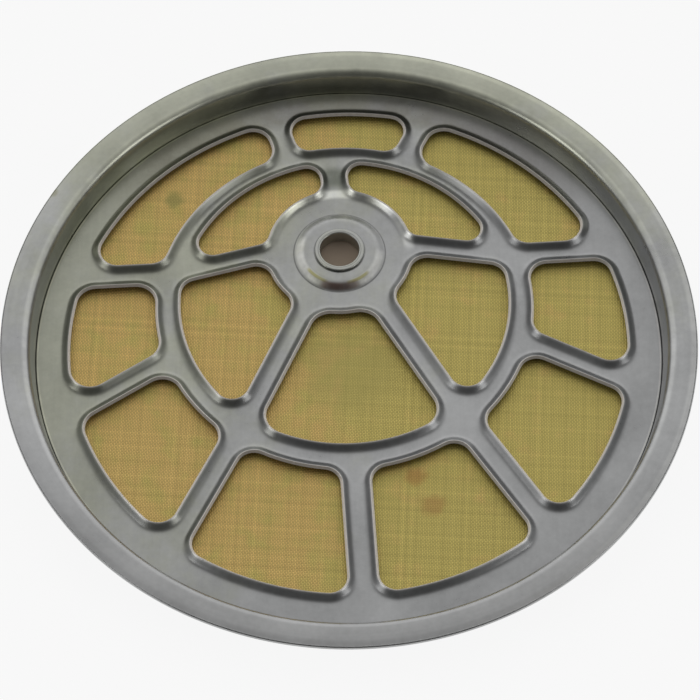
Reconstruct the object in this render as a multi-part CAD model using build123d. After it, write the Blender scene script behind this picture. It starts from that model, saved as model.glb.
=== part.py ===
from build123d import *
import math
import os
from typing import NamedTuple

os.makedirs("parts", exist_ok=True)


class Round(NamedTuple):
    """Round edge that bounds windows: its middle and its radius."""

    x: float
    y: float
    r: float


class Spoke(NamedTuple):
    """Rib that runs outward from the hub."""

    angle: float
    offset: float
    width: float
    corner: float


# Rim cup: wall round the recess, flange outside it with its edge eased down, and a ledge inside its foot
CUP_D = 108.0
RECESS = 4.9
WALL_FLARE = 1.2
FLANGE_W = 4.8
EASE_W = 1.2
EASE_DROP = 0.14
EDGE_BREAK = 0.2
LEDGE_W = 4.0
RIM_SHEET = 0.7
SHOULDER_R = 1.8
FOOT_BEND_R = 1.0

# Grille plate
PLATE_SHEET = 0.6
PLATE_GAP = 0.1
PLATE_EDGE_BREAK = 0.2

# Lips that rise round each window
LIP_H = 1.1
LIP_ANGLE = 42.0

# Outer band, outer windows, ring rib and inner windows, each by its depth on the far side and the near side
BAND_FAR = 5.35
BAND_NEAR = 6.55
OUTER_FAR = 6.6
OUTER_NEAR = 23.5
RING_FAR = 3.7
RING_NEAR = 5.5
RING_X = -0.7
INNER_FAR = 5.2
HUB_X = -1.5
HUB_SEAT = 5.2
CORNER_SHARE = 0.46

# Ribs by angle, offset of the centre line from the hub axis, width and corner radius of the next window
INNER_SPOKES = [
    Spoke(-7.9, 2.9, 4.6, 2.3),
    Spoke(97.2, -1.05, 5.1, 2.4),
    Spoke(195.1, -3.1, 4.3, 2.8),
    Spoke(245.7, -0.7, 4.9, 3.5),
    Spoke(300.4, 0.9, 5.1, 3.0),
]
OUTER_SPOKES = [
    Spoke(3.2, -2.6, 4.7, 3.1),
    Spoke(63.5, -1.5, 4.6, 2.6),
    Spoke(108.4, 2.2, 4.6, 3.0),
    Spoke(182.8, 2.9, 4.8, 3.3),
    Spoke(213.0, 2.1, 4.75, 3.2),
    Spoke(243.2, 0.9, 5.1, 2.9),
    Spoke(273.2, 0.0, 5.6, 2.9),
    Spoke(303.6, -1.4, 5.7, 2.9),
    Spoke(333.5, -2.1, 4.95, 2.9),
]

# Raised boss round the fixing hole
BOSS_H = 0.85
BOSS_FOOT_R = 7.75
BOSS_RUN = 1.25
BOSS_BEND_R = 0.8

# Ferrule through the hub: tube, turned lip on the boss and wide flange under the screen
HOLE_D = 6.8
FERRULE_WALL = 0.55
FERRULE_GAP = 0.05
FERRULE_LIP_W = 0.4
FERRULE_LIP_H = 0.45
FERRULE_FLANGE_W = 6.45
FERRULE_FLANGE_T = 0.6
FERRULE_LIP_EDGE_R = 0.2

# Woven wire screen
SCREEN_T = 0.3
SCREEN_EDGE_GAP = 0.6

# Levels and radii that follow
CUP_R = CUP_D / 2
SCREEN_TOP = RIM_SHEET + SCREEN_T
FLOOR = SCREEN_TOP + PLATE_SHEET
RIM_TOP = FLOOR + RECESS
BOSS_TOP = FLOOR + BOSS_H
TUBE_R = HOLE_D / 2 + FERRULE_WALL
CUT_FOOT = FLOOR + LIP_H - PLATE_SHEET * math.cos(math.radians(LIP_ANGLE))
LIP_APEX = CUT_FOOT + PLATE_SHEET / math.cos(math.radians(LIP_ANGLE))


def round_within(outer, far, near, x):
    """Round edge inside another, by its depth from it on the far side and the near side."""
    return Round(x, outer.y + (near - far) / 2, outer.r - (near + far) / 2)


# Round edges, from the cup wall inward
band_edge = round_within(Round(0.0, 0.0, CUP_R), BAND_FAR, BAND_NEAR, 0.0)
ring_outside = round_within(band_edge, OUTER_FAR, OUTER_NEAR, RING_X)
ring_inside = round_within(ring_outside, RING_FAR, RING_NEAR, RING_X)
hub_r = BOSS_FOOT_R + HUB_SEAT
hub = Round(HUB_X, ring_inside.y + ring_inside.r - INNER_FAR - hub_r, hub_r)
hub_at = (hub.x, hub.y)


def turned(points, rounds, at=(0.0, 0.0)):
    """Solid turned about a vertical axis from radius and height pairs.

    Each entry of rounds names a corner of the outline by its place in the list, with its radius.
    """
    outline = Wire.make_polygon([Vector(r, 0, z) for r, z in points], close=True)
    face = Face(outline)
    for place, radius in rounds.items():
        target = Vector(points[place][0], 0, points[place][1])
        vertex = min(face.vertices(), key=lambda v: (v.center() - target).length)
        face = face.fillet_2d(radius, [vertex])
    return Pos(*at, 0) * revolve(face, Axis.Z, 360)


def spoke_frame(spoke):
    """Point on a spoke's centre line beside the hub axis, and the way it runs."""
    a = math.radians(spoke.angle)
    along = Vector(math.cos(a), math.sin(a))
    across = Vector(-math.sin(a), math.cos(a))
    return Vector(*hub_at) + across * spoke.offset, along


def spoke_strip(spoke):
    """Straight strip from the hub axis to past the rim, along one spoke."""
    start, along = spoke_frame(spoke)
    middle = start + along * CUP_R
    return Pos(middle.X, middle.Y) * Rot(0, 0, spoke.angle) * Rectangle(2 * CUP_R, spoke.width)


def turn_after(spoke, point):
    """Anticlockwise turn from a spoke to a point, in degrees."""
    start, along = spoke_frame(spoke)
    reach = point - start
    return math.degrees(math.atan2(along.cross(reach).Z, along.dot(reach))) % 360


def windows_between(outside, inside, spokes):
    """Openings between two round edges, parted by spokes, with their corners rounded."""
    ring = outside - inside
    for spoke in spokes:
        ring -= spoke_strip(spoke)
    openings = []
    for face in ring.faces():
        point = Vector(face.center().X, face.center().Y)
        before = min(spokes, key=lambda spoke: turn_after(spoke, point))
        shortest = min(edge.length for edge in face.edges())
        openings.append(face.fillet_2d(min(before.corner, CORNER_SHARE * shortest), face.vertices()))
    return openings


def disc(edge):
    """Flat face inside a round edge."""
    return Pos(edge.x, edge.y) * Circle(edge.r)


def flared(window, z, rise, angle):
    """Solid that starts as the window at a level and widens up or down from it, by an angle off upright."""
    way = (0, 0, math.copysign(1, rise))
    return extrude(Pos(0, 0, z) * Face(window.outer_wire()), amount=abs(rise), dir=way, taper=-angle)


# Rim cup
flare_r = CUP_R + WALL_FLARE
rim_r = flare_r + FLANGE_W
rim_shell = turned(
    [
        (CUP_R - LEDGE_W, 0.0),
        (CUP_R + RIM_SHEET, 0.0),
        (flare_r + RIM_SHEET, RIM_TOP - RIM_SHEET),
        (rim_r - EASE_W, RIM_TOP - RIM_SHEET),
        (rim_r, RIM_TOP - RIM_SHEET - EASE_DROP),
        (rim_r, RIM_TOP - EASE_DROP - EDGE_BREAK),
        (rim_r - EDGE_BREAK, RIM_TOP - EASE_DROP),
        (rim_r - EASE_W, RIM_TOP),
        (flare_r, RIM_TOP),
        (CUP_R, RIM_SHEET),
        (CUP_R - LEDGE_W, RIM_SHEET),
    ],
    {1: FOOT_BEND_R, 2: SHOULDER_R - RIM_SHEET, 8: SHOULDER_R},
)

# Windows
windows = windows_between(disc(band_edge), disc(ring_outside), OUTER_SPOKES)
windows += windows_between(disc(ring_inside), disc(hub), INNER_SPOKES)

# Pressed grille plate: flat sheet with a raised boss, then a lip round each window
plate = Pos(0, 0, SCREEN_TOP) * extrude(Circle(CUP_R - PLATE_GAP), PLATE_SHEET)
plate_edge = plate.edges().filter_by(GeomType.CIRCLE).sort_by(Axis.Z)[-1]
plate = chamfer(plate_edge, min(PLATE_EDGE_BREAK, PLATE_SHEET / 3))
boss_top_r = BOSS_FOOT_R - BOSS_RUN
skirt_r = BOSS_FOOT_R + BOSS_RUN
bend_shift = PLATE_SHEET * math.tan(math.atan2(BOSS_H, BOSS_RUN) / 2)
plate += turned(
    [
        (0.0, SCREEN_TOP),
        (skirt_r, SCREEN_TOP),
        (skirt_r, FLOOR),
        (BOSS_FOOT_R, FLOOR),
        (boss_top_r, BOSS_TOP),
        (0.0, BOSS_TOP),
    ],
    {3: BOSS_BEND_R + PLATE_SHEET, 4: BOSS_BEND_R + PLATE_SHEET},
    hub_at,
)
plate -= turned(
    [
        (0.0, 0.0),
        (BOSS_FOOT_R - bend_shift, 0.0),
        (BOSS_FOOT_R - bend_shift, SCREEN_TOP),
        (boss_top_r - bend_shift, BOSS_TOP - PLATE_SHEET),
        (0.0, BOSS_TOP - PLATE_SHEET),
    ],
    {3: BOSS_BEND_R},
    hub_at,
)
for window in windows:
    plate += flared(window, LIP_APEX, FLOOR - LIP_APEX, 90 - LIP_ANGLE)
for window in windows:
    plate -= flared(window, CUT_FOOT, SCREEN_TOP - CUT_FOOT, 90 - LIP_ANGLE)
    plate -= flared(window, CUT_FOOT, RIM_TOP - CUT_FOOT, LIP_ANGLE)
bore = Pos(*hub_at, 0) * extrude(Circle(TUBE_R + FERRULE_GAP), RIM_TOP)
grille_plate = plate - bore

# Screen
screen = Pos(0, 0, RIM_SHEET) * extrude(Circle(CUP_R - SCREEN_EDGE_GAP), SCREEN_T)
mesh_screen = screen - bore

# Ferrule
lip_r = TUBE_R + FERRULE_LIP_W
flange_r = TUBE_R + FERRULE_FLANGE_W
lip_edge_r = min(FERRULE_LIP_EDGE_R, FERRULE_LIP_H / 2)
hub_ferrule = turned(
    [
        (HOLE_D / 2, RIM_SHEET - FERRULE_FLANGE_T),
        (flange_r, RIM_SHEET - FERRULE_FLANGE_T),
        (flange_r, RIM_SHEET),
        (TUBE_R, RIM_SHEET),
        (TUBE_R, BOSS_TOP),
        (lip_r, BOSS_TOP),
        (lip_r, BOSS_TOP + FERRULE_LIP_H),
        (HOLE_D / 2, BOSS_TOP + FERRULE_LIP_H),
    ],
    {6: lip_edge_r, 7: lip_edge_r},
    hub_at,
)

pieces = {
    "rim_shell": rim_shell,
    "grille_plate": grille_plate,
    "mesh_screen": mesh_screen,
    "hub_ferrule": hub_ferrule,
}
for name, shape in pieces.items():
    export_step(shape, f"parts/{name}.step")
    box = shape.bounding_box()
    print(f"{name}: {len(shape.solids())} solid, {shape.volume:.1f} mm3, from {box.min} to {box.max}")
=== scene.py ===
"""Dressed scene of an automatic transmission filter: rim cup, pressed grille, wire screen and hub ferrule."""

import logging
import math
from dataclasses import dataclass, field
from enum import Enum
from typing import NamedTuple, Optional

import bpy
import numpy as np
from mathutils import Matrix, Vector
from mathutils.geometry import delaunay_2d_cdt


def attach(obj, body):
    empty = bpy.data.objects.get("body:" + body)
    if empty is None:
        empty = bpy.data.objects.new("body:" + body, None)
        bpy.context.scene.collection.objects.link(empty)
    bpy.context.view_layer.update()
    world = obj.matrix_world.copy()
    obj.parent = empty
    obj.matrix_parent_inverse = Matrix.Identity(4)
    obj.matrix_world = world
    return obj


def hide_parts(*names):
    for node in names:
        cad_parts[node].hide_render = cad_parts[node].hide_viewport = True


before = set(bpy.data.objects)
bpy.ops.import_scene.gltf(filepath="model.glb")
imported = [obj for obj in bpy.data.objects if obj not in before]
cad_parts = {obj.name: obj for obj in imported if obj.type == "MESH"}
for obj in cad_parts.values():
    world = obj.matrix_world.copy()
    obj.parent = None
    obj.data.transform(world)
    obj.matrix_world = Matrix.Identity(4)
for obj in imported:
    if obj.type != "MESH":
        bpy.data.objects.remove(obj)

log = logging.getLogger("filter_scene")

MM = 0.001
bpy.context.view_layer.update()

Socket = bpy.types.NodeSocket
Outputs = bpy.types.NodeOutputs
Material = bpy.types.Material
Piece = bpy.types.Object
Pair = tuple[float, float]
Triple = tuple[float, float, float]
Colour = tuple[float, float, float, float]


class Slot(Enum):
    """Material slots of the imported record."""

    RIM = "rim_steel"
    PLATE = "plate_steel"
    SCREEN = "screen_brass"
    FERRULE = "ferrule_steel"


class Round(NamedTuple):
    """Round edge that bounds windows: its middle and its radius, in mm."""

    x: float
    y: float
    r: float


class Spoke(NamedTuple):
    """Rib that runs outward from the hub: angle, offset, width and corner radius of the next window."""

    angle: float
    offset: float
    width: float
    corner: float


class Level(NamedTuple):
    """Corner of a turned profile: radius, height and the rounding of that corner, in mm."""

    r: float
    z: float
    rounding: float = 0.0


# Node helpers


class Graph:
    """Short way to add and link nodes in one node tree."""

    def __init__(self, tree: bpy.types.NodeTree) -> None:
        """Keeps the tree."""
        self.tree = tree

    def node(self, kind: str, values: Optional[dict] = None, **settings: object) -> bpy.types.Node:
        """Adds a node.

        Args:
            kind: The node's type name.
            values: Input socket (index or name) to a value or an output socket to link from.
            settings: Properties of the node itself.

        Returns:
            The new node.
        """
        made = self.tree.nodes.new(kind)
        for name, value in settings.items():
            setattr(made, name, value)
        for key, value in (values or {}).items():
            self.feed(made.inputs[key], value)
        return made

    def feed(self, socket: Socket, value: object) -> None:
        """Sets a socket's value, or links it from another socket.

        Args:
            socket: The input socket.
            value: A plain value or an output socket.
        """
        if isinstance(value, Socket):
            self.tree.links.new(value, socket)
        else:
            socket.default_value = value

    def math(self, operation: str, *values: object, clamp: bool = False) -> Socket:
        """Adds a Math node.

        Args:
            operation: The node's operation.
            values: Its inputs in order.
            clamp: Whether the result is held between 0 and 1.

        Returns:
            The result socket.
        """
        made = self.node("ShaderNodeMath", dict(enumerate(values)), operation=operation, use_clamp=clamp)
        return made.outputs[0]

    def vector(self, operation: str, *values: object) -> Socket:
        """Adds a Vector Math node.

        Args:
            operation: The node's operation.
            values: Its inputs in order.

        Returns:
            The vector socket, or the number of a length, a distance or a dot product.
        """
        made = self.node("ShaderNodeVectorMath", dict(enumerate(values)), operation=operation)
        return made.outputs["Value" if operation in ("LENGTH", "DISTANCE", "DOT_PRODUCT") else "Vector"]

    def split(self, vector: Socket) -> Outputs:
        """The three parts of a vector."""
        return self.node("ShaderNodeSeparateXYZ", {0: vector}).outputs

    def ramp(self, value: object, low: float, high: float, start: float = 0.0, end: float = 1.0) -> Socket:
        """Smooth step from start to end while a value goes from low to high.

        Args:
            value: The value's socket.
            low: Value at which the step starts.
            high: Value at which it ends.
            start: Result before the step.
            end: Result after it.

        Returns:
            The result socket.
        """
        inputs = {0: value, 1: low, 2: high, 3: start, 4: end}
        return self.node("ShaderNodeMapRange", inputs, interpolation_type="SMOOTHSTEP").outputs[0]

    def mix(self, factor: object, first: object, second: object, blend: str = "MIX") -> Socket:
        """Blends two colours.

        Args:
            factor: Share of the second colour.
            first: First colour or its socket.
            second: Second colour or its socket.
            blend: How they are blended.

        Returns:
            The colour socket.
        """
        made = self.node("ShaderNodeMix", data_type="RGBA", blend_type=blend)
        for place, value in ((0, factor), (6, first), (7, second)):
            self.feed(made.inputs[place], value)
        return made.outputs[2]

    def multiply(self, first: object, second: object) -> Socket:
        """Multiplies two colours."""
        return self.mix(1.0, first, second, "MULTIPLY")

    def shade(self, level: object) -> Socket:
        """Grey colour of a level."""
        return self.node("ShaderNodeCombineColor", {0: level, 1: level, 2: level}).outputs[0]

    def noise(self, vector: object, scale: float, detail: float = 3.0, roughness: float = 0.5) -> Socket:
        """Noise texture value.

        Args:
            vector: Coordinate socket.
            scale: Blots per metre.
            detail: Octaves.
            roughness: Weight of the finer octaves.

        Returns:
            The factor socket.
        """
        inputs = {"Vector": vector, "Scale": scale, "Detail": detail, "Roughness": roughness}
        return self.node("ShaderNodeTexNoise", inputs).outputs[0]


def grey(level: float, warm: float = 0.0) -> Colour:
    """Linear grey colour of a lightness, with a shift towards yellow."""
    return (level * (1 + warm), level, level * (1 - warm), 1.0)


def tinted(level: float, tint: Triple) -> Colour:
    """Linear colour of a lightness and a tint."""
    return (level * tint[0], level * tint[1], level * tint[2], 1.0)


# Finishes

# Yellow-green tint that the metal takes towards one side
YELLOW_GREEN_TINT = (0.98, 1.0, 0.83)

# Noise patterns: blots per metre, octaves and weight of the finer ones
BLOTCH = (75.0, 4.0, 0.55)
FINE = (900.0, 4.0, 0.6)
GRAIN = (5200.0, 2.0, 0.5)
RIPPLE = (260.0, 2.0, 0.5)
TINT_PATCH = (90.0, 4.0, 0.65)
RAGGED = (420.0, 4.0, 0.6)
ARC_PATCHES = (300.0, 3.0, 0.6)
DRAWN = (1600.0, 3.0, 0.6)
TURNED = (1900.0, 3.0, 0.6)
TORN = (1500.0, 4.0, 0.6)
CLOTH_PATCH = (330.0, 1.5, 0.5)
CLOTH_DRIFT = (70.0, 2.0, 0.5)


@dataclass(frozen=True)
class Stain:
    """Patch of residue on a surface: place in mm, size, strength and colour."""

    x: float
    y: float
    size: float
    strength: float
    colour: Colour


@dataclass(frozen=True)
class Arc:
    """Ring or arc of metal that is brighter or darker than the rest, most of them painted highlights and
    painted shade. Sizes in mm, angles in degrees.
    """

    x: float
    y: float
    r: float
    width: float
    gain: Triple
    middle: float = 0.0
    spread: float = 360.0


class Skin(Graph):
    """Node material in the making, with its shader and its Object coordinates."""

    def __init__(self, name: str, metallic: float) -> None:
        """Makes the material.

        Args:
            name: Its name.
            metallic: How metallic it is.
        """
        self.material = bpy.data.materials.new(name)
        self.material.use_nodes = True
        super().__init__(self.material.node_tree)
        self.shader = self.tree.nodes["Principled BSDF"].inputs
        self.shader["Metallic"].default_value = metallic
        self.place = self.node("ShaderNodeTexCoord").outputs["Object"]

    def finish(self, colour: Socket, rough: Socket, height: Socket, strength: float, depth: float) -> None:
        """Feeds the shader.

        Args:
            colour: Base colour.
            rough: Roughness.
            height: Height of the bump.
            strength: Its strength.
            depth: Its depth in mm.
        """
        inputs = {"Strength": strength, "Distance": depth * MM, "Height": height}
        self.feed(self.shader["Base Color"], colour)
        self.feed(self.shader["Roughness"], rough)
        self.feed(self.shader["Normal"], self.node("ShaderNodeBump", inputs).outputs[0])

    def flat_from(self, x: float, y: float) -> tuple[Socket, Socket]:
        """Flat way from an upright axis.

        Args:
            x: Where the axis stands across, in mm.
            y: Where it stands along, in mm.

        Returns:
            The way from the axis and its length.
        """
        offset = self.vector("SUBTRACT", self.place, (x * MM, y * MM, 0.0))
        flat = self.vector("MULTIPLY", offset, (1.0, 1.0, 0.0))
        return flat, self.vector("LENGTH", flat)

    def stained(self, colour: Socket, stains: tuple[Stain, ...]) -> Socket:
        """Lays ragged stains over a colour.

        Args:
            colour: Colour below the stains.
            stains: The stains.

        Returns:
            The colour socket with the stains.
        """
        if not stains:
            return colour
        ragged = self.noise(self.place, *RAGGED)
        for stain in stains:
            size = stain.size * MM
            reach = self.flat_from(stain.x, stain.y)[1]
            shifted = self.math("MULTIPLY_ADD", ragged, -size, reach)
            share = self.ramp(shifted, -0.2 * size, 0.5 * size, stain.strength, 0.0)
            colour = self.mix(share, colour, stain.colour)
        return colour

    def arc_highlights_and_shade(self, colour: Socket, arcs: tuple[Arc, ...]) -> Socket:
        """Brightens or darkens the metal along arcs, mostly to paint highlights and shade on it.

        Args:
            colour: Colour before the arcs.
            arcs: The arcs.

        Returns:
            The colour socket with the arcs.
        """
        uneven = self.ramp(self.noise(self.place, *ARC_PATCHES), 0.25, 0.6, 0.6, 1.0)
        for arc in arcs:
            flat, reach = self.flat_from(arc.x, arc.y)
            beside = self.math("ABSOLUTE", self.math("SUBTRACT", reach, arc.r * MM))
            share = self.ramp(beside, arc.width * MM * 0.3, arc.width * MM, 1.0, 0.0)
            share = self.math("MULTIPLY", share, uneven)
            if arc.spread < 360:
                way, half = math.radians(arc.middle), math.radians(arc.spread / 2)
                unit = self.vector("NORMALIZE", flat)
                near = self.vector("DOT_PRODUCT", unit, (math.cos(way), math.sin(way), 0.0))
                share = self.math("MULTIPLY", share, self.ramp(near, math.cos(half), math.cos(half * 0.6)))
            colour = self.mix(share, colour, self.multiply(colour, (*arc.gain, 1.0)))
        return colour


@dataclass(frozen=True)
class SteelFinish:
    """Satin steel sheet: tone, roughness, grain, drawing streaks, painted shade towards the outer edge, arcs
    of painted highlight and shade, and stains.
    """

    name: str
    tone: float = 0.452
    contrast: float = 0.45
    # Painted shade: share of the tone kept at the outer edge, and the radii in mm over which the sheet
    # darkens outward
    outer_shade_tone: float = 0.9
    outer_shade_reach: Pair = (26.0, 44.0)
    roughness: float = 0.31
    grain: float = 0.12
    blotch: float = 0.75
    fine: float = 0.3
    streak: float = 0.12
    streak_stretch: float = 0.06
    turned_stretch: float = 0.0012
    tint_way: Pair = (0.0, 1.0)
    tint_reach: Pair = (42.0, 108.0)
    tint_ragged: float = 110.0
    turned_about: Optional[Pair] = None
    cut_run: float = 0.0
    arcs: tuple[Arc, ...] = ()
    stains: tuple[Stain, ...] = ()

    def build(self) -> Material:
        """Builds the node material.

        Returns:
            The material.
        """
        skin = Skin(self.name, 1.0)
        place = skin.place
        blotch = skin.noise(place, *BLOTCH)
        fine = skin.noise(place, *FINE)
        streak = self.streaks(skin)
        share = 0.5 - (self.blotch + self.streak + self.fine) / 2
        for pattern, strength in ((blotch, self.blotch), (streak, self.streak)):
            share = skin.math("MULTIPLY_ADD", pattern, strength, share)
        share = skin.math("MULTIPLY_ADD", fine, self.fine, share, clamp=True)
        low, high = self.tone * (1 - self.contrast), self.tone * (1 + self.contrast)
        plain = skin.mix(share, grey(low, -0.01), grey(high, -0.01))
        tinted_colour = skin.mix(share, tinted(low, YELLOW_GREEN_TINT), tinted(high, YELLOW_GREEN_TINT))
        # The metal turns yellow-green along one direction, in ragged patches
        along = skin.vector("DOT_PRODUCT", place, (*self.tint_way, 0.0))
        patch = skin.math("MULTIPLY", skin.noise(place, *TINT_PATCH), self.tint_ragged * MM)
        start, end = (reach * MM for reach in self.tint_reach)
        tint_share = skin.ramp(skin.math("ADD", along, patch), start, end, 0.04, 1.0)
        # Painted shade: the sheet darkens outward, where the cup wall shades it
        start, end = (reach * MM for reach in self.outer_shade_reach)
        outward = skin.ramp(skin.vector("LENGTH", place), start, end, 1.0, self.outer_shade_tone)
        colour = skin.multiply(skin.mix(tint_share, plain, tinted_colour), skin.shade(outward))
        # Arcs of painted highlight and shade, then stains
        colour = skin.stained(skin.arc_highlights_and_shade(colour, self.arcs), self.stains)
        if self.cut_run > 0:
            colour = self.lip_edges(skin, colour)
        rough = skin.math("MULTIPLY_ADD", fine, 0.10, self.roughness - 0.13)
        rough = skin.math("MULTIPLY_ADD", blotch, 0.16, rough)
        height = skin.math("MULTIPLY_ADD", streak, 0.6, skin.noise(place, *GRAIN))
        height = skin.math("MULTIPLY_ADD", skin.noise(place, *RIPPLE), 2.5, height)
        skin.finish(colour, rough, height, strength=self.grain, depth=0.02)
        return skin.material

    def lip_edges(self, skin: Skin, colour: Socket) -> Socket:
        """Paints a pale line beside each cut edge, partly bare metal and partly a painted highlight, and
        paints shade on the slope of the lip.

        Args:
            skin: The material in the making, whose metal turns paler at the edge, partly as a painted
                highlight.
            colour: Colour before.

        Returns:
            The colour socket with the lips.
        """
        edge, near, far = (0.06, 0.26), (0.2, 0.5), (0.7, 1.7)
        gap = skin.node("ShaderNodeAttribute", attribute_name="window_gap").outputs["Fac"]
        out = skin.math("SUBTRACT", gap, self.cut_run)
        # Painted shade on the slope of the lip
        slope_shade = skin.math("MULTIPLY", skin.ramp(out, *near), skin.ramp(out, *far, 0.3, 0.0))
        colour = skin.mix(slope_shade, colour, grey(0.0))
        # Pale line at the cut edge: less metallic bare metal, partly a painted highlight
        skin.feed(skin.shader["Metallic"], skin.ramp(out, *edge, 0.55, 1.0))
        return skin.mix(skin.ramp(out, *edge, 1.0, 0.0), colour, grey(0.86, 0.05))

    def streaks(self, skin: Skin) -> Socket:
        """Faint streaks, round an axis where the piece was turned and otherwise along the sheet.

        Args:
            skin: The material in the making.

        Returns:
            Noise drawn out along the streaks.
        """
        if self.turned_about is None:
            drawn = skin.vector("MULTIPLY", skin.place, (1.0, self.streak_stretch, 1.0))
            return skin.noise(drawn, *DRAWN)
        flat, radius = skin.flat_from(*self.turned_about)
        stretch = (self.turned_stretch, self.turned_stretch, 0.0)
        slow = skin.vector("MULTIPLY", skin.vector("NORMALIZE", flat), stretch)
        rise = skin.math("ADD", radius, skin.split(skin.place)[2])
        along = skin.node("ShaderNodeCombineXYZ", {2: rise}).outputs[0]
        return skin.noise(skin.vector("ADD", slow, along), *TURNED)


@dataclass(frozen=True)
class ShearedFinish:
    """Bright sheared edge of the sheet, with painted shade where it faces the viewer."""

    name: str
    tone: float = 0.98
    roughness: float = 0.5

    def build(self) -> Material:
        """Builds the node material.

        Returns:
            The material.
        """
        skin = Skin(self.name, 0.1)
        torn = skin.noise(skin.place, *TORN)
        # Painted shade: faces that turn towards the near side are darker
        facing_shade = skin.split(skin.node("ShaderNodeNewGeometry").outputs["Normal"])[1]
        facing_shade = skin.ramp(facing_shade, -0.7, -0.1, 0.58, 1.05)
        level = skin.math("MULTIPLY", skin.math("MULTIPLY_ADD", torn, 0.4, 0.75), facing_shade)
        colour = skin.multiply(skin.shade(level), grey(self.tone, 0.05))
        rough = skin.math("MULTIPLY_ADD", torn, 0.2, self.roughness - 0.1)
        skin.finish(colour, rough, torn, strength=0.3, depth=0.03)
        return skin.material


@dataclass(frozen=True)
class WireCloth:
    """Plain woven brass wire cloth: pitch in mm, wire as a share of it, and the turn of the weave."""

    name: str
    pitch: Pair = (0.287, 0.334)
    turn: float = 3.6
    wire: float = 0.8
    wave: float = 0.35
    lightness: Pair = (0.70, 0.32)
    seeds: Pair = (0.37, 11.0)
    side_reach: Pair = (-20.0, 12.0)
    roughness: float = 0.44
    # Each pair is a lighter and a darker copy of one colour: painted light and shade, as the two sets of
    # wires catch the light differently
    ochre: tuple[Colour, Colour] = ((0.79, 0.555, 0.20, 1.0), (0.585, 0.42, 0.145, 1.0))
    olive: tuple[Colour, Colour] = ((0.69, 0.57, 0.18, 1.0), (0.52, 0.435, 0.135, 1.0))
    # Painted shade in the gaps between the wires
    gap: Colour = (0.11, 0.085, 0.035, 1.0)
    stains: tuple[Stain, ...] = ()

    def build(self) -> Material:
        """Builds the node material.

        Returns:
            The material.
        """
        skin = Skin(self.name, 0.85)
        place = skin.place
        height, gap, on_top, uneven = self.weave(skin)
        patch = skin.noise(place, *CLOTH_PATCH)
        drift = skin.noise(place, *CLOTH_DRIFT)
        left, right = (reach * MM for reach in self.side_reach)
        side = skin.ramp(skin.split(place)[0], left, right, -0.1, 0.3)
        greener = skin.math("ADD", skin.math("MULTIPLY_ADD", drift, 0.9, patch), side)
        # Painted light and shade: the two sets of wires take the lighter and the darker copy
        ochre, olive = (skin.mix(on_top, *pair) for pair in (self.ochre, self.olive))
        colour = skin.mix(skin.ramp(greener, 0.7, 1.25), ochre, olive)
        colour = skin.stained(skin.multiply(colour, skin.shade(uneven)), self.stains)
        # Painted shade: the gaps between the wires turn dark
        colour = skin.mix(skin.math("MULTIPLY", gap, 0.6), colour, self.gap)
        rough = skin.math("MULTIPLY_ADD", patch, 0.12, self.roughness - 0.06)
        skin.finish(colour, rough, height, strength=0.6, depth=0.06)
        return skin.material

    def weave(self, skin: Skin) -> tuple[Socket, ...]:
        """Plain weave of two sets of wires.

        Args:
            skin: The material in the making.

        Returns:
            Height, gaps between the wires, which set is on top, and a brightness that varies by the wire.
        """
        scale = (1.0 / (self.pitch[0] * MM), 1.0 / (self.pitch[1] * MM), 1.0)
        turn = (0.0, 0.0, math.radians(self.turn))
        inputs = {"Vector": skin.place, "Rotation": turn, "Scale": scale}
        parts = skin.split(skin.node("ShaderNodeMapping", inputs).outputs[0])
        rows, bright = [], []
        for along, across in ((0, 1), (1, 0)):
            cell = parts[across]
            number = skin.math("FLOOR", cell)
            wire = skin.math("MULTIPLY_ADD", number, self.seeds[0], self.seeds[1] * across)
            inputs = {"W": wire, "Scale": 1.0}
            bright.append(skin.node("ShaderNodeTexNoise", inputs, noise_dimensions="1D").outputs[0])
            side = skin.math("ABSOLUTE", skin.math("SUBTRACT", skin.math("FRACT", cell), 0.5))
            reach = skin.math("DIVIDE", side, self.wire / 2)
            crown = skin.math("SUBTRACT", 1.0, skin.math("MULTIPLY", reach, reach), clamp=True)
            phase = skin.math("ADD", parts[along], skin.math("ADD", number, float(along)))
            wave = skin.math("SINE", skin.math("MULTIPLY", phase, math.pi))
            wave = skin.math("MULTIPLY", wave, self.wave)
            rows.append((skin.math("ADD", skin.math("SQRT", crown), wave), crown))
        height = skin.math("MAXIMUM", rows[0][0], rows[1][0])
        cover = skin.math("MAXIMUM", rows[0][1], rows[1][1])
        on_top = skin.math("GREATER_THAN", rows[0][0], rows[1][0])
        least, spread = self.lightness
        uneven = skin.math("MULTIPLY_ADD", skin.math("ADD", *bright), spread, least)
        return height, skin.ramp(cover, 0.0, 0.5, 1.0, 0.0), on_top, uneven


# Shape helpers


def rounded_profile(levels: tuple[Level, ...], steps: int) -> list[Pair]:
    """Closed profile with each corner rounded by an arc.

    Args:
        levels: Corners in order.
        steps: Parts of each arc.

    Returns:
        Radius and height pairs in mm.
    """
    points = []
    for place, corner in enumerate(levels):
        here = Vector((corner.r, corner.z))
        if corner.rounding == 0:
            points.append(tuple(here))
            continue
        back = (Vector(levels[place - 1][:2]) - here).normalized()
        on = (Vector(levels[(place + 1) % len(levels)][:2]) - here).normalized()
        half = back.angle(on) / 2
        middle = here + (back + on).normalized() * (corner.rounding / math.sin(half))
        start = here + back * (corner.rounding / math.tan(half)) - middle
        end = here + on * (corner.rounding / math.tan(half)) - middle
        turn = start.angle_signed(end)
        for step in range(steps + 1):
            arm = Matrix.Rotation(-turn * step / steps, 2) @ start
            points.append(tuple(middle + arm))
    return points


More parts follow.
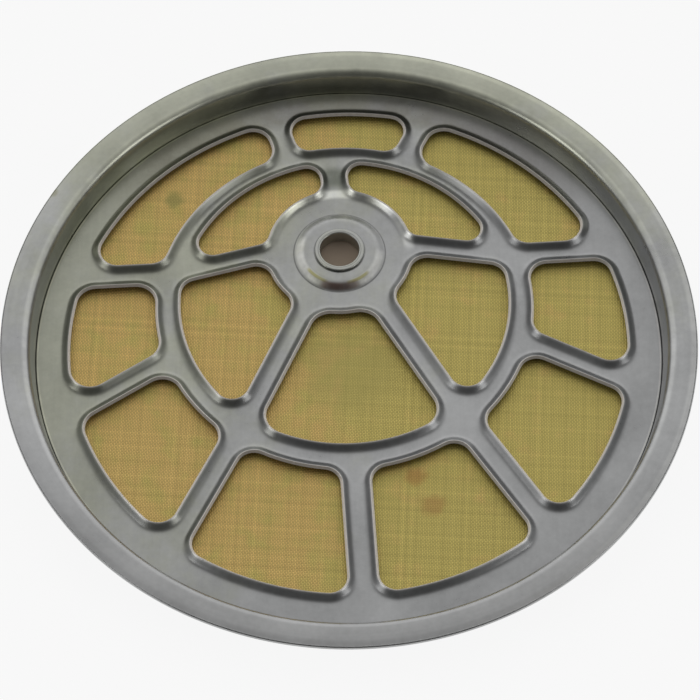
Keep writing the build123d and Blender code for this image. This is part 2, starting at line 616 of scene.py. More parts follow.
def linked(name: str, data: bpy.types.ID) -> Piece:
    """Links a new object to the scene.

    Args:
        name: Its name.
        data: Its mesh, lamp or camera.

    Returns:
        The object.
    """
    made = bpy.data.objects.new(name, data)
    bpy.context.scene.collection.objects.link(made)
    return made


def mesh_object(name: str, points: np.ndarray, faces: list, *materials: Material) -> Piece:
    """Links a smooth mesh object.

    Args:
        name: The piece's name.
        points: Vertices in metres.
        faces: Vertex numbers of each face.
        materials: Its materials.

    Returns:
        The object.
    """
    mesh = bpy.data.meshes.new(name)
    mesh.from_pydata([tuple(p) for p in points], [], faces)
    mesh.update()
    mesh.shade_smooth()
    for material in materials:
        mesh.materials.append(material)
    return linked(name, mesh)


def hand_over(piece: Piece, node: str) -> Piece:
    """Lets a finished piece stand for a node of the frame.

    Args:
        piece: The piece.
        node: The node that it replaces.

    Returns:
        The piece.
    """
    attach(piece, "root")
    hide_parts(node)
    return piece


def lathe(name: str, profile: list[Pair], at: Pair, parts: int, material: Material) -> Piece:
    """Closed profile turned about an upright axis.

    Args:
        name: The piece's name.
        profile: Radius and height pairs in mm, anticlockwise with the radius to the right.
        at: The axis in mm.
        parts: Steps round the axis.
        material: Its material.

    Returns:
        The turned piece.
    """
    section = np.array(profile)
    angles = np.arange(parts) * (2 * math.pi / parts)
    ring = len(section)
    points = np.zeros((parts, ring, 3))
    points[:, :, 0] = at[0] + np.cos(angles)[:, None] * section[:, 0]
    points[:, :, 1] = at[1] + np.sin(angles)[:, None] * section[:, 0]
    points[:, :, 2] = section[:, 1]
    faces = []
    for a in range(parts):
        b = (a + 1) % parts
        for i in range(ring):
            j = (i + 1) % ring
            faces.append((a * ring + i, b * ring + i, b * ring + j, a * ring + j))
    return mesh_object(name, points.reshape(-1, 3) * MM, faces, material)


def plain_mesh(piece: Piece) -> None:
    """Turns a piece's evaluated shape into its own plain mesh.

    Args:
        piece: The piece, whose modifiers are removed.
    """
    evaluated = piece.evaluated_get(bpy.context.evaluated_depsgraph_get())
    mesh = bpy.data.meshes.new_from_object(evaluated)
    piece.modifiers.clear()
    piece.data = mesh


# Window layout


@dataclass
class WindowLayout:
    """Where the windows lie: between round edges, from the cup wall inward, parted by spokes. Sizes in mm."""

    cup_r: float = 54.0
    band: Pair = (5.35, 6.55)
    outer_depth: Pair = (6.6, 23.5)
    ring: Pair = (3.7, 5.5)
    ring_x: float = -0.7
    hub: Round = Round(-1.5, 20.2, 12.95)
    inner_spokes: tuple[Spoke, ...] = (
        Spoke(-7.9, 2.9, 4.6, 2.3),
        Spoke(97.2, -1.05, 5.1, 2.4),
        Spoke(195.1, -3.1, 4.3, 2.8),
        Spoke(245.7, -0.7, 4.9, 3.5),
        Spoke(300.4, 0.9, 5.1, 3.0),
    )
    outer_spokes: tuple[Spoke, ...] = (
        Spoke(3.2, -2.6, 4.7, 3.1),
        Spoke(63.5, -1.5, 4.6, 2.6),
        Spoke(108.4, 2.2, 4.6, 3.0),
        Spoke(182.8, 2.9, 4.8, 3.3),
        Spoke(213.0, 2.1, 4.75, 3.2),
        Spoke(243.2, 0.9, 5.1, 2.9),
        Spoke(273.2, 0.0, 5.6, 2.9),
        Spoke(303.6, -1.4, 5.7, 2.9),
        Spoke(333.5, -2.1, 4.95, 2.9),
    )
    side_step: float = 1.2
    corner_step: float = 0.45

    def within(self, outer: Round, depth: Pair, x: float) -> Round:
        """Round edge inside another, by its depth on the far side and the near side."""
        far, near = depth
        return Round(x, outer.y + (near - far) / 2, outer.r - (near + far) / 2)

    def outlines(self) -> list[tuple[np.ndarray, np.ndarray]]:
        """Outline of every window.

        Returns:
            For each window its points and its outward directions.
        """
        band = self.within(Round(0.0, 0.0, self.cup_r), self.band, 0.0)
        ring_outside = self.within(band, self.outer_depth, self.ring_x)
        ring_inside = self.within(ring_outside, self.ring, self.ring_x)
        found = []
        for outer, inner, spokes in (
            (band, ring_outside, self.outer_spokes),
            (ring_inside, self.hub, self.inner_spokes),
        ):
            for place, before in enumerate(spokes):
                after = spokes[(place + 1) % len(spokes)]
                found.append(self.outline(outer, inner, before, after))
        return found

    def outline(self, outer: Round, inner: Round, before: Spoke, after: Spoke) -> tuple[np.ndarray, ...]:
        """Outline of the window between two round edges and two spokes, anticlockwise.

        Args:
            outer: Its outer edge.
            inner: Its inner edge.
            before: Spoke on its clockwise side, which gives the corner radius.
            after: Spoke on its anticlockwise side.

        Returns:
            Points in mm and outward directions.
        """
        corner = before.corner
        turns = []
        for spoke, sign, edge, bulge in (
            (before, 1.0, outer, -1.0),
            (after, -1.0, outer, -1.0),
            (after, -1.0, inner, 1.0),
            (before, 1.0, inner, 1.0),
        ):
            a = math.radians(spoke.angle)
            along = Vector((math.cos(a), math.sin(a)))
            across = Vector((-along.y, along.x))
            start = Vector(self.hub[:2]) + across * (spoke.offset + sign * (spoke.width / 2 + corner))
            reach = start - Vector(edge[:2])
            b = reach.dot(along)
            c = reach.dot(reach) - (edge.r + bulge * corner) ** 2
            middle = start + along * (-b + math.sqrt(b * b - c))
            turns.append((middle, -sign * across, -bulge * (middle - Vector(edge[:2])).normalized()))
        points, ways = [], []
        for place, (middle, spoke_way, edge_way) in enumerate(turns):
            to_spoke = place % 2 == 1
            first, last = (edge_way, spoke_way) if to_spoke else (spoke_way, edge_way)
            turn = (math.atan2(last.y, last.x) - math.atan2(first.y, first.x)) % (2 * math.pi)
            count = max(3, math.ceil(turn * corner / self.corner_step))
            for step in range(count + 1):
                way = Matrix.Rotation(turn * step / count, 2) @ first
                points.append(middle + way * corner)
                ways.append(way)
            following = turns[(place + 1) % len(turns)]
            if to_spoke:
                self.run_side(points, ways, following[0] + following[1] * corner)
            else:
                edge, bulge = (outer, 1.0) if place == 0 else (inner, -1.0)
                self.run_side(points, ways, following[0] + following[2] * corner, edge, bulge)
        return np.array([p[:] for p in points]), np.array([w[:] for w in ways])

    def run_side(
        self, points: list, ways: list, end: Vector, edge: Optional[Round] = None, bulge: float = 1.0
    ) -> None:
        """Adds the points of a side up to its end, which is left out.

        Args:
            points: Outline so far.
            ways: Its outward directions.
            end: Where the side ends.
            edge: The round edge that the side lies on, where it isn't straight.
            bulge: 1 where the window lies inside that edge, and -1 where it lies outside.
        """
        start, way = points[-1], ways[-1]
        if edge is None:
            count = max(1, round((end - start).length / self.side_step))
            for step in range(1, count):
                points.append(start.lerp(end, step / count))
                ways.append(way)
            return
        middle = Vector(edge[:2])
        first, last = start - middle, end - middle
        turn = math.atan2(last.y, last.x) - math.atan2(first.y, first.x)
        turn = (turn + math.pi) % (2 * math.pi) - math.pi
        count = max(1, round(abs(turn) * edge.r / self.side_step))
        for step in range(1, count):
            arm = (Matrix.Rotation(turn * step / count, 2) @ first).normalized()
            points.append(middle + arm * edge.r)
            ways.append(arm * bulge)


# Pieces


@dataclass
class RimCup:
    """Pressed rim: ledge, cup wall and flange with an eased outer edge. Sizes in mm."""

    cup_r: float = 54.0
    flare: float = 1.0
    flange: float = 5.0
    ledge: float = 4.0
    sheet: float = 0.7
    top: float = 6.5
    shoulder: float = 1.6
    foot_bend: float = 1.0
    ease_w: float = 1.2
    ease_drop: float = 0.14
    ease_bend: float = 18.0
    lip_bend: float = 0.3
    ledge_bend: float = 0.1
    bend_parts: int = 12
    parts: int = 320

    def build(self, material: Material) -> Piece:
        """Builds the rim.

        Args:
            material: Its steel.

        Returns:
            The rim piece.
        """
        flare_r = self.cup_r + self.flare
        rim_r = flare_r + self.flange
        under = self.top - self.sheet
        profile = rounded_profile(
            (
                Level(self.cup_r - self.ledge, 0.0, self.ledge_bend),
                Level(self.cup_r + self.sheet, 0.0, self.foot_bend),
                Level(flare_r + self.sheet, under, self.shoulder - self.sheet),
                Level(rim_r - self.ease_w, under, self.ease_bend),
                Level(rim_r, under - self.ease_drop, self.lip_bend / 2),
                Level(rim_r, self.top - self.ease_drop, self.lip_bend),
                Level(rim_r - self.ease_w, self.top, self.ease_bend),
                Level(flare_r, self.top, self.shoulder),
                Level(self.cup_r, self.sheet, self.foot_bend - self.sheet),
                Level(self.cup_r - self.ledge, self.sheet, self.ledge_bend),
            ),
            self.bend_parts,
        )
        piece = lathe("rim_cup", profile, (0.0, 0.0), self.parts, material)
        return hand_over(piece, "rim_shell")


@dataclass
class HubFerrule:
    """Turned ferrule through the hub. Sizes in mm."""

    at: Pair = (-1.5, 20.2)
    hole_r: float = 3.4
    wall: float = 0.55
    lip_w: float = 0.4
    lip_h: float = 0.45
    lip_bend: float = 0.22
    boss_top: float = 2.45
    flange_w: float = 6.45
    flange_t: float = 0.6
    flange_top: float = 0.7
    flange_bend: float = 0.08
    bend_parts: int = 7
    parts: int = 128

    def build(self, material: Material) -> Piece:
        """Builds the ferrule.

        Args:
            material: Its steel.

        Returns:
            The ferrule piece.
        """
        tube = self.hole_r + self.wall
        lip_top = self.boss_top + self.lip_h
        profile = rounded_profile(
            (
                Level(self.hole_r, self.flange_top - self.flange_t, 0.2),
                Level(tube + self.flange_w, self.flange_top - self.flange_t, self.flange_bend),
                Level(tube + self.flange_w, self.flange_top, self.flange_bend),
                Level(tube, self.flange_top),
                Level(tube, self.boss_top),
                Level(tube + self.lip_w, self.boss_top, 0.04),
                Level(tube + self.lip_w, lip_top, self.lip_bend),
                Level(self.hole_r, lip_top, self.lip_bend),
            ),
            self.bend_parts,
        )
        piece = lathe("hub_bush", profile, self.at, self.parts, material)
        return hand_over(piece, "hub_ferrule")


class PressTree(Graph):
    """Node tree that presses lips and boss into a flat sheet and gives it its thickness. Sizes in mm."""

    def __init__(self, sizes: dict[str, float]) -> None:
        """Makes the tree with its named inputs.

        Args:
            sizes: The sizes that it takes, by name.
        """
        super().__init__(bpy.data.node_groups.new("press_grille", "GeometryNodeTree"))
        kinds = {"Geometry": "Geometry", **{name: "Float" for name in sizes}}
        kinds |= {"Hub": "Vector", "Steel": "Material", "Sheared steel": "Material"}
        for name, kind in kinds.items():
            self.tree.interface.new_socket(name, in_out="INPUT", socket_type=f"NodeSocket{kind}")
        self.tree.interface.new_socket("Geometry", in_out="OUTPUT", socket_type="NodeSocketGeometry")
        self.given = self.node("NodeGroupInput").outputs

    def build(self) -> bpy.types.NodeTree:
        """Adds the nodes.

        Returns:
            The node tree.
        """
        given = self.given
        rise = self.math("ADD", self.lip_rise("window_gap"), self.lip_rise("next_gap"))
        rise = self.math("SUBTRACT", self.math("ADD", rise, self.boss_rise()), self.edge_drop())
        lift = self.node("ShaderNodeCombineXYZ", {2: self.math("MULTIPLY", rise, MM)}).outputs[0]
        inputs = {"Geometry": given["Geometry"], "Offset": lift}
        pressed = self.node("GeometryNodeSetPosition", inputs).outputs[0]
        thick = self.math("MULTIPLY", given["Sheet"], -MM)
        inputs = {"Mesh": pressed, "Offset Scale": thick, "Individual": False}
        pushed = self.node("GeometryNodeExtrudeMesh", inputs, mode="FACES").outputs
        flipped = self.node("GeometryNodeFlipFaces", {"Mesh": pushed["Mesh"]}).outputs[0]
        inputs = {"Geometry": flipped, "Name": "cut_face", "Value": pushed["Side"]}
        marked = self.node("GeometryNodeStoreNamedAttribute", inputs, data_type="BOOLEAN", domain="FACE")
        both = self.node("GeometryNodeJoinGeometry", {0: pressed})
        self.feed(both.inputs[0], marked.outputs[0])
        inputs = {"Geometry": both.outputs[0], "Distance": 1e-6}
        merged = self.node("GeometryNodeMergeByDistance", inputs).outputs[0]
        real = self.node("GeometryNodeRealizeInstances", {"Geometry": merged}).outputs[0]
        inputs = {"Geometry": real, "Material": given["Steel"]}
        steel = self.node("GeometryNodeSetMaterial", inputs).outputs[0]
        inputs = {"Geometry": steel, "Material": given["Sheared steel"]}
        inputs["Selection"] = self.stored("cut_face", "BOOLEAN")
        self.node("NodeGroupOutput", {"Geometry": self.node("GeometryNodeSetMaterial", inputs).outputs[0]})
        return self.tree

    def lip_rise(self, name: str) -> Socket:
        """Height of the lip over the flat at a point's gap to a window.

        Args:
            name: Attribute that holds the gap.

        Returns:
            The height socket.
        """
        given = self.given
        out = self.math("SUBTRACT", self.stored(name, "FLOAT"), given["Cut run"])
        fall = self.math("MULTIPLY", out, given["Lip slope"])
        slope = self.math("SUBTRACT", given["Lip height"], fall)
        crest = self.math("SMOOTH_MIN", slope, given["Lip height"], given["Crest bend"])
        return self.math("SMOOTH_MAX", crest, 0.0, given["Lip bend"])

    def stored(self, name: str, kind: str) -> Socket:
        """Value of a named attribute of a kind."""
        return self.node("GeometryNodeInputNamedAttribute", {"Name": name}, data_type=kind).outputs[0]

    def flat_place(self) -> Socket:
        """Place of a point, without its height."""
        place = self.node("GeometryNodeInputPosition").outputs[0]
        return self.vector("MULTIPLY", place, (1 / MM, 1 / MM, 0.0))

    def edge_drop(self) -> Socket:
        """Depth by which the plate's own edge is rounded off.

        Returns:
            The depth socket.
        """
        given = self.given
        start = self.math("SUBTRACT", given["Plate radius"], given["Edge round"])
        past = self.math("SUBTRACT", self.vector("LENGTH", self.flat_place()), start)
        past = self.math("DIVIDE", past, given["Edge round"], clamp=True)
        past = self.math("MULTIPLY", self.math("MULTIPLY", past, past), given["Edge share"])
        level = self.math("SQRT", self.math("SUBTRACT", 1.0, past))
        return self.math("MULTIPLY", self.math("SUBTRACT", 1.0, level), given["Edge round"])

    def boss_rise(self) -> Socket:
        """Height of the boss over the flat.

        Returns:
            The height socket.
        """
        given = self.given
        down = self.vector("DISTANCE", self.flat_place(), given["Hub"])
        down = self.math("SUBTRACT", given["Boss foot radius"], down)
        slope = self.math("MULTIPLY", down, given["Boss slope"])
        low = self.math("SMOOTH_MAX", slope, 0.0, given["Boss crease"])
        return self.math("SMOOTH_MIN", low, given["Boss height"], given["Boss bend"])


# Owner of a sheet point: the number of the window or the ring that it is cut along, or one of the first two
LOOSE, FILL = -1, -2
EDGE_RING, BORE_RING = 98, 99


@dataclass
class GrillePlate:
    """Pressed grille: flat sheet, boss at the hub and a raised lip round every window. Sizes in mm."""

    layout: WindowLayout = field(default_factory=WindowLayout)
    radius: float = 54.06
    sheet: float = 0.6
    floor: float = 1.6
    lip_h: float = 1.1
    lip_angle: float = 42.0
    lip_bend: float = 0.7
    crest_bend: float = 0.3
    boss_h: float = 0.85
    boss_foot_r: float = 7.95
    boss_run: float = 1.4
    boss_bend: float = 0.5
    boss_crease: float = 0.12
    bore_r: float = 4.0
    edge_round: float = 0.14
    edge_turns: tuple[float, ...] = (0.0, 0.3, 0.6, 0.85, 1.1)
    edge_share: float = 0.98
    edge_bevel: float = 0.07
    bevel_from: float = 60.0
    boss_parts: int = 112
    edge_parts: int = 360
    loop_gap: float = 0.12
    loop_slack: float = 0.02
    fill_step: float = 2.6
    fill_gap: float = 0.9
    fill_hub_gap: float = 1.0
    fill_r: float = 52.2
    steps_out: tuple[float, ...] = (
        0.0, 0.1, 0.22, 0.36, 0.6, 0.82, 0.94, 1.06, 1.18, 1.3, 1.42, 1.56, 1.8, 2.2
    )
    boss_rings: tuple[float, ...] = (
        4.6, 5.2, 5.7, 6.0, 6.2, 6.4, 6.6, 6.8, 7.0, 7.2, 7.45, 7.7, 7.83, 7.94, 8.06, 8.35, 9.1
    )

    def build(self, steel: Material, sheared: Material) -> Piece:
        """Builds the grille from a flat cut sheet that a node tree presses.

        Args:
            steel: Sheet finish.
            sheared: Finish of the cut edges.

        Returns:
            The grille piece.
        """
        points, owner, gaps = self.sheet_points()
        place = np.c_[points, np.full(len(points), self.floor)] * MM
        piece = mesh_object("grille", place, self.sheet_faces(points, owner), steel, sheared)
        for name, values in (("window_gap", gaps[0]), ("next_gap", gaps[1])):
            attribute = piece.data.attributes.new(name, "FLOAT", "POINT")
            attribute.data.foreach_set("value", values.astype(np.float32))
        sizes = self.press_sizes()
        tree = PressTree(sizes).build()
        press = piece.modifiers.new("press", "NODES")
        press.node_group = tree
        hub = (self.layout.hub.x, self.layout.hub.y, 0.0)
        given = {**sizes, "Hub": hub, "Steel": steel, "Sheared steel": sheared}
        for item in tree.interface.items_tree:
            if item.item_type == "SOCKET" and item.in_out == "INPUT" and item.name in given:
                press[item.identifier] = given[item.name]
        plain_mesh(piece)
        bevel = piece.modifiers.new("cut_corners", "BEVEL")
        bevel.limit_method = "ANGLE"
        bevel.angle_limit = math.radians(self.bevel_from)
        bevel.width = self.edge_bevel * MM
        bevel.segments = 2
        bevel.harden_normals = True
        return hand_over(piece, "grille_plate")

    def press_sizes(self) -> dict[str, float]:
        """Sizes in mm that the press tree takes, by the names of its inputs.

        Returns:
            The sizes.
        """
        angle = math.radians(self.lip_angle)
        return {
            "Lip height": self.lip_h,
            "Lip slope": math.tan(angle),
            "Lip bend": self.lip_bend,
            "Crest bend": self.crest_bend,
            "Cut run": self.sheet * math.sin(angle),
            "Boss height": self.boss_h,
            "Boss foot radius": self.boss_foot_r,
            "Boss slope": self.boss_h / self.boss_run,
            "Boss bend": self.boss_bend,
            "Boss crease": self.boss_crease,
            "Plate radius": self.radius,
            "Edge round": self.edge_round,
            "Edge share": self.edge_share,
            "Sheet": self.sheet,
        }

    def sheet_points(self) -> tuple[np.ndarray, np.ndarray, np.ndarray]:
        """Points of the flat sheet: loops round the windows, rings at the hub and the edge, and a fill.

        Returns:
            Points in mm, each point's owner, and its gaps to the nearest and the next window.
        """
        outlines = self.layout.outlines()
        cut_run = self.sheet * math.sin(math.radians(self.lip_angle))
        points, owner, loop = [], [], []
        for number, (line, ways) in enumerate(outlines):
            for step in self.steps_out:
                points.append(line + ways * (cut_run + step))
                owner.append(np.full(len(line), LOOSE if step else number))
                loop.append(np.full(len(line), cut_run + step))
        hub = np.array(self.layout.hub[:2])
        rings = [(hub, r, self.boss_parts) for r in (self.bore_r, *self.boss_rings)]
        rings += [((0, 0), r, self.edge_parts) for r in self.edge_rings()]
        for middle, r, count in rings:
            angles = np.arange(count) * (2 * math.pi / count)
            points.append(middle + r * np.c_[np.cos(angles), np.sin(angles)])
            owner.append(np.full(count, {self.bore_r: BORE_RING, self.radius: EDGE_RING}.get(r, LOOSE)))
            loop.append(np.zeros(count))
        fill = self.fill_points(outlines)
        points.append(fill)
        owner.append(np.full(len(fill), FILL))
        loop.append(np.zeros(len(fill)))
        points, owner, loop = np.concatenate(points), np.concatenate(owner), np.concatenate(loop)
        gaps = self.window_gaps(points, outlines)
        apart = (gaps[1] > loop + self.loop_gap) & (gaps[0] > loop - self.loop_slack)
        keep = apart | (loop == 0) | (owner >= 0)
        clear = gaps[0] > cut_run + self.steps_out[-1] + self.fill_gap
        clear &= np.hypot(*(points - hub).T) > self.boss_rings[-1] + self.fill_hub_gap
        clear &= np.hypot(*points.T) < self.fill_r
        keep &= clear | (owner != FILL)
        return points[keep], owner[keep], gaps[:, keep]

    def sheet_faces(self, points: np.ndarray, owner: np.ndarray) -> list[list[int]]:
        """Triangles of the flat sheet, without those that lie in a window or in the bore.

        Args:
            points: Points in mm.
            owner: Owner of each point.

        Returns:
            Vertex numbers of each triangle, anticlockwise.
        """
        edges = []
        for ring in sorted(set(owner[owner >= 0])):
            members = np.flatnonzero(owner == ring)
            edges += [(int(a), int(b)) for a, b in zip(members, np.roll(members, -1))]
        made = delaunay_2d_cdt([Vector(p) for p in points], edges, [], 0, 1e-6)
        origin = [group[0] for group in made[3]]
        faces = []
        for found in made[2]:
            a, b, c = (origin[v] for v in found)
            if owner[a] not in (LOOSE, FILL, EDGE_RING) and owner[a] == owner[b] == owner[c]:
                continue
            (ax, ay), (bx, by), (cx, cy) = points[a], points[b], points[c]
            left = (bx - ax) * (cy - ay) > (by - ay) * (cx - ax)
            faces.append([a, b, c] if left else [c, b, a])
        return faces

    def edge_rings(self) -> list[float]:
        """Radii of the rings that round the plate's own edge, in mm.

        Returns:
            The radii.
        """
        last = math.sin(self.edge_turns[-1])
        turns = [self.radius - self.edge_round * (1 - math.sin(turn) / last) for turn in self.edge_turns]
        return [self.radius - self.edge_round - 0.4] + turns

    def fill_points(self, outlines: list) -> np.ndarray:
        """Loose points that fill the flats, outside the windows.

        Args:
            outlines: Outline points and directions of the windows.

        Returns:
            Points on a staggered grid, in mm.
        """
        step = self.fill_step
        rows = np.arange(-int(self.radius / step), int(self.radius / step) + 1)
        grid = np.array([(x * step + (y % 2) * step / 2, y * step * 0.866) for y in rows for x in rows])
        for start, _ in outlines:
            end = np.roll(start, -1, 0)
            level = grid[:, 1, None]
            spans = (start[:, 1] > level) != (end[:, 1] > level)
            with np.errstate(divide="ignore", invalid="ignore"):
                share = (level - start[:, 1]) / (end[:, 1] - start[:, 1])
                across = start[:, 0] + share * (end[:, 0] - start[:, 0])
            crossings = (spans & (grid[:, 0, None] < across)).sum(1)
            grid = grid[crossings % 2 == 0]
        return grid

    def window_gaps(self, points: np.ndarray, outlines: list) -> np.ndarray:
        """Distance of each point to its nearest and its next window.

        Args:
            points: Points in mm.
            outlines: Outline points and directions of the windows.

        Returns:
            Two rows of distances in mm.
        """
        every = []
        for start, _ in outlines:
            run = np.roll(start, -1, 0) - start
            reach = points[:, None, :] - start[None]
            share = np.clip((reach * run).sum(2) / (run**2).sum(1), 0, 1)
            every.append(np.sqrt(((reach - share[..., None] * run) ** 2).sum(2).min(1)))
        return np.sort(np.array(every), axis=0)[:2]


@dataclass
class ScreenDisc:
    """Wire screen under the grille, which keeps its solid and gets its weave here."""

    node: str = "mesh_screen"

    def dress(self, material: Material) -> Piece:
        """Gives the screen its wire cloth.

        Args:
            material: The wire cloth.

        Returns:
            The screen piece.
        """
        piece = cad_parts[self.node]
        piece.data.materials.clear()
        piece.data.materials.append(material)
        return piece


# Studio


@dataclass
class Studio:
    """Floor, soft lamps, surroundings and the camera. Sizes in metres, power in watts, angles as named."""

    focal_px: float = 4536.2
    picture_px: float = 700.0
    sensor_mm: float = 36.0
    distance: float = 0.78408
    elevation_degrees: float = 58.897
    aim_z: float = 1.6 * MM
    pan: float = 0.000233
    tilt: float = -0.000389
    roll: float = -0.0080497
    floor_half: float = 4.0
    floor_z: float = -0.04 * MM
    floor_glow: float = 0.9
    covered_r: float = 50.0 * MM
    # Painted shade: dark brown floor under the part, seen through the hub's hole
    covered_shade: Colour = (0.46, 0.37, 0.29, 1.0)
    lamp_place: Triple = (0.80, -0.36, 0.50)
    lamp_size: float = 0.40
    lamp_power: float = 0.75

    def camera(self) -> None:
        """Sets up the camera as the photograph was taken."""
        data = bpy.data.cameras.new("camera")
        data.sensor_width = self.sensor_mm
        data.lens = data.sensor_width * self.focal_px / self.picture_px
        data.clip_start, data.clip_end = 0.01, 20.0
        camera = linked("camera", data)
        up = math.radians(self.elevation_degrees)
        place = Vector((0.0, -self.distance * math.cos(up), self.distance * math.sin(up) + self.aim_z))
        base = Matrix.Rotation(math.radians(90) - up, 3, "X")
        turn = Matrix.Rotation(-self.pan, 3, "Y") @ Matrix.Rotation(-self.tilt, 3, "X")
        turn = turn @ Matrix.Rotation(self.roll, 3, "Z")
        camera.matrix_world = Matrix.Translation(place) @ (base @ turn).to_4x4()
        bpy.context.scene.camera = camera

    def floor(self) -> None:
        """Pale floor that looks white and keeps the object's shadow, with a brown painted shade under the
        screen.
        """
        mesh = bpy.data.meshes.new("floor")
        corners = ((-1, -1), (1, -1), (1, 1), (-1, 1))
        points = [(x * self.floor_half, y * self.floor_half, self.floor_z) for x, y in corners]
        mesh.from_pydata(points, [], [(0, 1, 2, 3)])
        skin = Skin("pale_floor", 0.0)
        nodes = skin.tree.nodes
        nodes.remove(nodes["Principled BSDF"])
        reach = skin.vector("LENGTH", skin.place)
        covered = skin.ramp(reach, self.covered_r * 0.8, self.covered_r, 1.0, 0.0)
        above = skin.math("SUBTRACT", 1.0, skin.node("ShaderNodeNewGeometry").outputs["Backfacing"])
        covered = skin.math("MULTIPLY", covered, above)
        # Pale floor, with the brown painted shade under the part
        floor_and_shade = skin.mix(covered, grey(0.85), self.covered_shade)
        plain = skin.node("ShaderNodeBsdfDiffuse", {"Color": floor_and_shade}).outputs[0]
        glow = skin.node("ShaderNodeEmission", {"Color": grey(1.0), "Strength": 1.0}).outputs[0]
        path = skin.node("ShaderNodeLightPath").outputs
        seen = skin.math("ADD", path["Is Camera Ray"], path["Is Glossy Ray"])
        seen = skin.math("ADD", seen, path["Is Transmission Ray"], clamp=True)
        share = skin.math("MULTIPLY", seen, self.floor_glow)
        share = skin.math("MULTIPLY", share, skin.math("SUBTRACT", 1.0, covered))
        mixed = skin.node("ShaderNodeMixShader", {0: share, 1: plain, 2: glow}).outputs[0]
        skin.feed(nodes["Material Output"].inputs[0], mixed)
        mesh.materials.append(skin.material)
        linked("floor", mesh)

    def surroundings(self) -> None:
        """Soft grey surroundings, bright on the far side, dim behind the camera and low at both sides."""
        world = bpy.data.worlds.new("studio")
        bpy.context.scene.world = world
        world.use_nodes = True
        graph = Graph(world.node_tree)
        parts = graph.split(graph.node("ShaderNodeTexCoord").outputs["Generated"])
        side = graph.ramp(graph.math("ABSOLUTE", parts[0]), 0.4, 0.75)
        low = graph.math("MULTIPLY", side, graph.ramp(parts[2], 0.1, 0.45, 0.82, 0.0))
        high = graph.ramp(parts[1], -0.7, 0.6, 0.10, 0.62)
        far = graph.ramp(parts[1], 0.4, 0.8, 0.0, 0.26)
        level = graph.math("MULTIPLY", graph.math("ADD", high, far), graph.math("SUBTRACT", 1.0, low))
        background = world.node_tree.nodes["Background"].inputs
        graph.feed(background["Color"], graph.shade(level))
        background["Strength"].default_value = 1.0

    def softboxes(self) -> None:
        """Sets up a soft square lamp at either side, each facing the object."""
        across, along, up = self.lamp_place
        for name, x in (("left_softbox", -across), ("right_softbox", across)):
            data = bpy.data.lights.new(name, "AREA")
            data.shape = "SQUARE"
            data.size = self.lamp_size
            data.energy = self.lamp_power
            lamp = linked(name, data)
            place = Vector((x, along, up))
            lamp.location = place
            lamp.rotation_euler = place.to_track_quat("Z", "Y").to_euler()

    def build(self) -> None:
        """Builds the whole studio."""
        bpy.context.scene.view_settings.view_transform = "Standard"
        self.camera()
        self.floor()
        self.surroundings()
        self.softboxes()


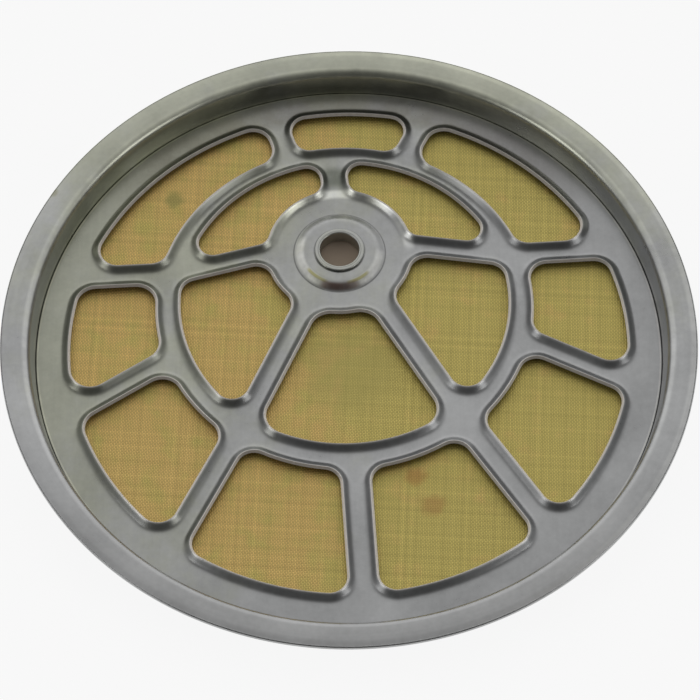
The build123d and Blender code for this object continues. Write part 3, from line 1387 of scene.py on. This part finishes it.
def main() -> None:
    """Builds the studio and every piece."""
    logging.basicConfig(level=logging.INFO)
    Studio().build()
    hub = (-1.5, 20.2)
    # Olive darkening for two arcs at the boss, and the gain of the painted highlight along the plate's edge
    olive, edge_highlight = (0.72, 0.68, 0.38), (1.45, 1.43, 1.38)
    steel = SteelFinish(
        "plate_steel_satin",
        # Painted shade towards the cup wall
        outer_shade_tone=0.93,
        tint_way=(-0.9, 0.4),
        cut_run=0.4,
        arcs=(
            # Painted shade: dark lines in the creases at the boss's foot and round the ferrule, a painted
            # shadow beside the ferrule on the near side, and reddish painted shade on the boss's near slope
            Arc(*hub, 8.02, 0.18, (0.5, 0.5, 0.5)),
            Arc(*hub, 4.45, 0.16, (0.6, 0.6, 0.6)),
            Arc(*hub, 4.5, 0.2, (0.5, 0.5, 0.5), 265.0, 150.0),
            Arc(*hub, 7.2, 0.9, (0.5, 0.36, 0.32), 270.0, 62.0),
            Arc(*hub, 6.6, 0.4, olive, 232.0, 44.0),
            Arc(*hub, 6.6, 0.4, olive, 300.0, 44.0),
            # Painted highlights on the left and right of the boss and on the far lips round the hub
            Arc(*hub, 7.0, 1.0, (1.9, 1.88, 1.85), 205.0, 110.0),
            Arc(*hub, 7.0, 1.0, (1.8, 1.78, 1.75), -38.0, 90.0),
            Arc(*hub, 12.3, 1.2, (2.1, 2.1, 2.05), 130.0, 96.0),
            Arc(*hub, 12.3, 1.2, (2.1, 2.1, 2.05), 47.0, 96.0),
            # Painted shade on the top spoke, a painted highlight along the plate's edge, and painted shade on
            # the far strip beside the cup wall
            Arc(*hub, 15.8, 3.0, (0.5, 0.52, 0.48), 97.0, 30.0),
            Arc(0.0, 0.0, 53.85, 0.24, edge_highlight),
            Arc(0.0, 0.0, 51.0, 4.2, (0.68, 0.66, 0.64), 90.0, 120.0),
        ),
    ).build()
    sheared = ShearedFinish("plate_steel_sheared").build()
    rim_steel = SteelFinish(
        "rim_steel_turned",
        tone=0.485,
        outer_shade_tone=1.0,
        turned_about=(0.0, 0.0),
        streak=0.14,
        arcs=(
            # Painted highlights on the shoulder and the outer edge, and painted shade on the near flange and
            # its outer edge
            Arc(0.0, 0.0, 55.7, 0.8, (1.35, 1.35, 1.33), 90.0, 280.0),
            Arc(0.0, 0.0, 59.4, 0.8, (1.2, 1.2, 1.18), 20.0, 200.0),
            Arc(0.0, 0.0, 57.9, 3.6, (0.9, 0.895, 0.89), 270.0, 130.0),
            Arc(0.0, 0.0, 59.6, 1.2, (0.88, 0.88, 0.88), 270.0, 150.0),
        ),
        stains=(Stain(-51.8, 30.3, 1.4, 0.45, (0.26, 0.25, 0.12, 1.0)),),
    ).build()
    bush_steel = SteelFinish(
        "bush_steel_turned",
        tone=0.5,
        outer_shade_tone=1.0,
        turned_about=hub,
        streak=0.14,
        arcs=(Arc(*hub, 3.75, 0.1, (0.6, 0.6, 0.6)),),
    ).build()
    cloth = WireCloth(
        "wire_cloth",
        stains=(
            Stain(11.2, -24.4, 2.6, 0.6, (0.50, 0.26, 0.08, 1.0)),
            Stain(14.0, -30.2, 2.8, 0.55, (0.48, 0.26, 0.09, 1.0)),
            Stain(-30.6, 31.8, 2.2, 0.6, (0.30, 0.30, 0.10, 1.0)),
            Stain(0.0, -3.0, 12.0, 0.45, (0.47, 0.41, 0.135, 1.0)),
        ),
    ).build()
    pieces = (
        RimCup().build(rim_steel),
        GrillePlate().build(steel, sheared),
        HubFerrule().build(bush_steel),
        ScreenDisc().dress(cloth),
    )
    for piece in pieces:
        log.info("%s: %d faces", piece.name, len(piece.data.polygons))


if __name__ == "__main__":
    main()
